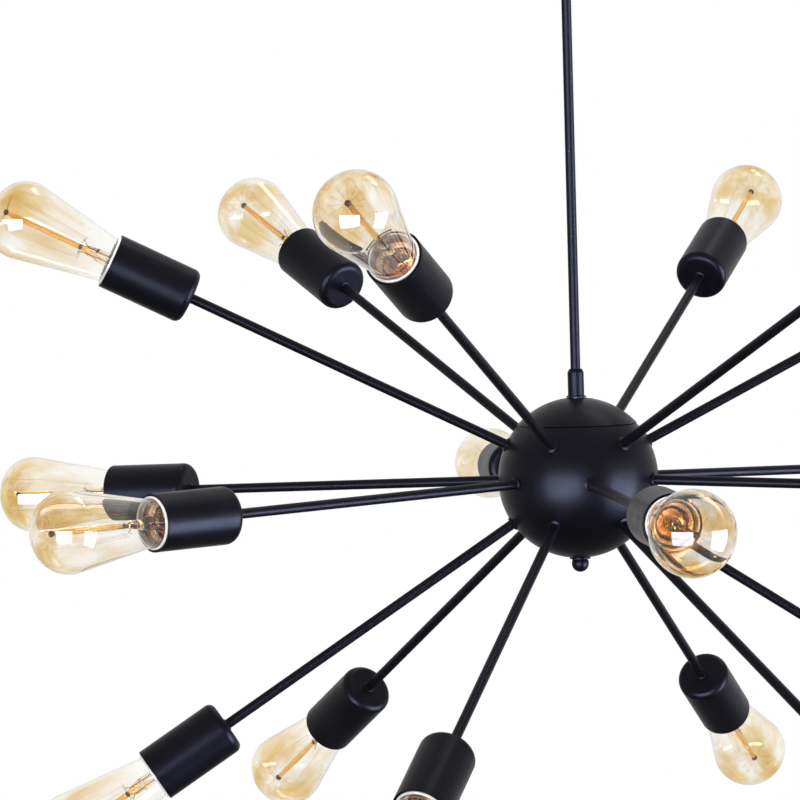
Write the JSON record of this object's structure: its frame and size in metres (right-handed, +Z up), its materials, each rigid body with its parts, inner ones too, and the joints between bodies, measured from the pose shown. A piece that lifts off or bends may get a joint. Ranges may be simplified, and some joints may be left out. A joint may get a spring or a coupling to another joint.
{
  "type": "sputnik chandelier",
  "caption": "Black sputnik chandelier: a round hub on a rod and swivel, with radial arms in three rings, each with a cup lampholder and an amber filament bulb.",
  "frame": {"origin": "centre of the crossbar's top face, in the plane of the ceiling", "axes": "+Z up, out of the ceiling; X along the crossbar; Y across it"},
  "size_m": [0.9454, 1.0476, 0.9486],
  "materials": {
    "black_paint": "satin black powder coat",
    "zinc_steel": "zinc plated",
    "porcelain": "glazed cream porcelain",
    "socket_metal": "copper-coloured screw shell",
    "amber_glass": "clear glass with a light amber tint"
  },
  "bodies": {
    "ceiling": {"ceiling_crossbar": "zinc_steel", "canopy": "black_paint", "canopy_studs": "zinc_steel", "canopy_cap_nuts": "black_paint"},
    "swivel": {"swivel_yoke": "black_paint", "swivel_nut": "zinc_steel", "swivel_pivot_screws": "black_paint"},
    "pendant": {"swivel_knuckle": "black_paint", "upper_rod": "black_paint", "rod_coupler": "black_paint", "lower_rod": "black_paint", "hub_collar": "black_paint", "hub_bowl": "black_paint", "hub_cap": "black_paint", "hub_spindle": "zinc_steel", "spindle_nuts": "zinc_steel", "finial": "black_paint", "arms_upper": "black_paint", "arms_middle": "black_paint", "arms_lower": "black_paint", "arm_locknuts": "zinc_steel", "lampholders": "porcelain", "lampholder_shells": "socket_metal", "lampholder_contacts": "socket_metal", "socket_cup_upper_1": "black_paint", "socket_cup_upper_2": "black_paint", "socket_cup_upper_3": "black_paint", "socket_cup_upper_4": "black_paint", "socket_cup_upper_5": "black_paint", "socket_cup_upper_6": "black_paint", "socket_cup_middle_1": "black_paint", "socket_cup_middle_2": "black_paint", "socket_cup_middle_3": "black_paint", "socket_cup_middle_4": "black_paint", "socket_cup_middle_5": "black_paint", "socket_cup_middle_6": "black_paint", "socket_cup_lower_1": "black_paint", "socket_cup_lower_2": "black_paint", "socket_cup_lower_3": "black_paint", "socket_cup_lower_4": "black_paint", "socket_cup_lower_5": "black_paint", "socket_cup_lower_6": "black_paint"},
    "bulb_upper_1": {"bulb_upper_1": "amber_glass"},
    "bulb_upper_2": {"bulb_upper_2": "amber_glass"},
    "bulb_upper_3": {"bulb_upper_3": "amber_glass"},
    "bulb_upper_4": {"bulb_upper_4": "amber_glass"},
    "bulb_upper_5": {"bulb_upper_5": "amber_glass"},
    "bulb_upper_6": {"bulb_upper_6": "amber_glass"},
    "bulb_middle_1": {"bulb_middle_1": "amber_glass"},
    "bulb_middle_2": {"bulb_middle_2": "amber_glass"},
    "bulb_middle_3": {"bulb_middle_3": "amber_glass"},
    "bulb_middle_4": {"bulb_middle_4": "amber_glass"},
    "bulb_middle_5": {"bulb_middle_5": "amber_glass"},
    "bulb_middle_6": {"bulb_middle_6": "amber_glass"},
    "bulb_lower_1": {"bulb_lower_1": "amber_glass"},
    "bulb_lower_2": {"bulb_lower_2": "amber_glass"},
    "bulb_lower_3": {"bulb_lower_3": "amber_glass"},
    "bulb_lower_4": {"bulb_lower_4": "amber_glass"},
    "bulb_lower_5": {"bulb_lower_5": "amber_glass"},
    "bulb_lower_6": {"bulb_lower_6": "amber_glass"}
  },
  "joints": [
    {"name": "swivel_turn", "type": "hinge", "parent": "ceiling", "child": "swivel", "pos_m": [0, 0, -0.025], "axis": [0, 0, 1], "range_deg": [-180, 180]},
    {"name": "swivel_tilt", "type": "hinge", "parent": "swivel", "child": "pendant", "pos_m": [0, 0, -0.0497], "axis": [1, 0, 0], "range_deg": [-30, 30]},
    {"name": "bulb_upper_1_screw", "type": "hinge", "parent": "pendant", "child": "bulb_upper_1", "pos_m": [0.35797, 0, -0.46892], "axis": [0.8949, 0, 0.4462], "range_deg": [0, 360]},
    {"name": "bulb_upper_2_screw", "type": "hinge", "parent": "pendant", "child": "bulb_upper_2", "pos_m": [0.17899, 0.31001, -0.46892], "axis": [0.4475, 0.775, 0.4462], "range_deg": [0, 360]},
    {"name": "bulb_upper_3_screw", "type": "hinge", "parent": "pendant", "child": "bulb_upper_3", "pos_m": [-0.17899, 0.31001, -0.46892], "axis": [-0.4475, 0.775, 0.4462], "range_deg": [0, 360]},
    {"name": "bulb_upper_4_screw", "type": "hinge", "parent": "pendant", "child": "bulb_upper_4", "pos_m": [-0.35797, 0, -0.46892], "axis": [-0.8949, 0, 0.4462], "range_deg": [0, 360]},
    {"name": "bulb_upper_5_screw", "type": "hinge", "parent": "pendant", "child": "bulb_upper_5", "pos_m": [-0.17899, -0.31001, -0.46892], "axis": [-0.4475, -0.775, 0.4462], "range_deg": [0, 360]},
    {"name": "bulb_upper_6_screw", "type": "hinge", "parent": "pendant", "child": "bulb_upper_6", "pos_m": [0.17899, -0.31001, -0.46892], "axis": [0.4475, -0.775, 0.4462], "range_deg": [0, 360]},
    {"name": "bulb_middle_1_screw", "type": "hinge", "parent": "pendant", "child": "bulb_middle_1", "pos_m": [0.34629, 0.19993, -0.65787], "axis": [0.8657, 0.4998, -0.0262], "range_deg": [0, 360]},
    {"name": "bulb_middle_2_screw", "type": "hinge", "parent": "pendant", "child": "bulb_middle_2", "pos_m": [0, 0.39986, -0.65787], "axis": [0, 0.9997, -0.0262], "range_deg": [0, 360]},
    {"name": "bulb_middle_3_screw", "type": "hinge", "parent": "pendant", "child": "bulb_middle_3", "pos_m": [-0.34629, 0.19993, -0.65787], "axis": [-0.8657, 0.4998, -0.0262], "range_deg": [0, 360]},
    {"name": "bulb_middle_4_screw", "type": "hinge", "parent": "pendant", "child": "bulb_middle_4", "pos_m": [-0.34629, -0.19993, -0.65787], "axis": [-0.8657, -0.4998, -0.0262], "range_deg": [0, 360]},
    {"name": "bulb_middle_5_screw", "type": "hinge", "parent": "pendant", "child": "bulb_middle_5", "pos_m": [0, -0.39986, -0.65787], "axis": [0, -0.9997, -0.0262], "range_deg": [0, 360]},
    {"name": "bulb_middle_6_screw", "type": "hinge", "parent": "pendant", "child": "bulb_middle_6", "pos_m": [0.34629, -0.19993, -0.65787], "axis": [0.8657, -0.4998, -0.0262], "range_deg": [0, 360]},
    {"name": "bulb_lower_1_screw", "type": "hinge", "parent": "pendant", "child": "bulb_lower_1", "pos_m": [0.33547, 0, -0.86526], "axis": [0.8387, 0, -0.5446], "range_deg": [0, 360]},
    {"name": "bulb_lower_2_screw", "type": "hinge", "parent": "pendant", "child": "bulb_lower_2", "pos_m": [0.16773, 0.29052, -0.86526], "axis": [0.4193, 0.7263, -0.5446], "range_deg": [0, 360]},
    {"name": "bulb_lower_3_screw", "type": "hinge", "parent": "pendant", "child": "bulb_lower_3", "pos_m": [-0.16773, 0.29052, -0.86526], "axis": [-0.4193, 0.7263, -0.5446], "range_deg": [0, 360]},
    {"name": "bulb_lower_4_screw", "type": "hinge", "parent": "pendant", "child": "bulb_lower_4", "pos_m": [-0.33547, 0, -0.86526], "axis": [-0.8387, 0, -0.5446], "range_deg": [0, 360]},
    {"name": "bulb_lower_5_screw", "type": "hinge", "parent": "pendant", "child": "bulb_lower_5", "pos_m": [-0.16773, -0.29052, -0.86526], "axis": [-0.4193, -0.7263, -0.5446], "range_deg": [0, 360]},
    {"name": "bulb_lower_6_screw", "type": "hinge", "parent": "pendant", "child": "bulb_lower_6", "pos_m": [0.16773, -0.29052, -0.86526], "axis": [0.4193, -0.7263, -0.5446], "range_deg": [0, 360]}
  ]
}
